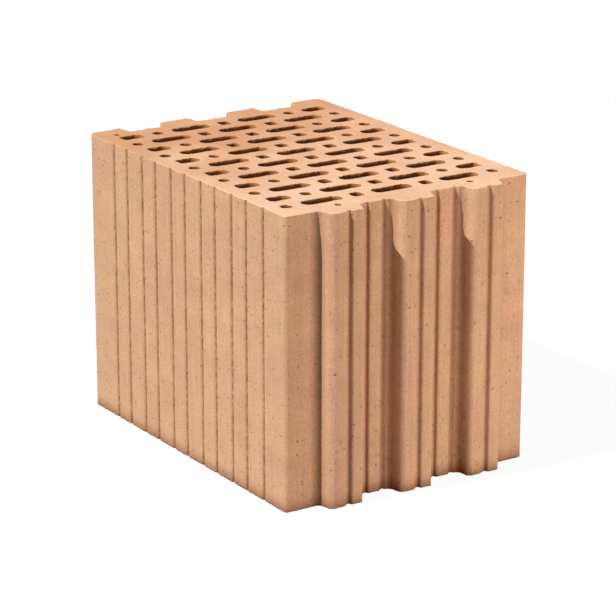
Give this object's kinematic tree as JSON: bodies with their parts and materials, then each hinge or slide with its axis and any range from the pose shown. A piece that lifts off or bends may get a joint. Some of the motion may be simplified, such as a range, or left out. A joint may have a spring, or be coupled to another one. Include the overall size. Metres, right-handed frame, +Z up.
{
  "type": "hollow clay block",
  "caption": "Fired clay building block with tongue-and-groove head faces, scored sides and staggered through slots.",
  "frame": {"origin": "centre of the block's bounding box on its lower bed face", "axes": "+Z up along the extruded holes; +Y along the block's length, away from its tongues; +X across the wall thickness"},
  "size_m": [0.24, 0.333, 0.249],
  "materials": {
    "fired_clay": "matt, wire-cut and ground"
  },
  "bodies": {
    "root": {"hollow_clay_block": "fired_clay"}
  },
  "joints": []
}
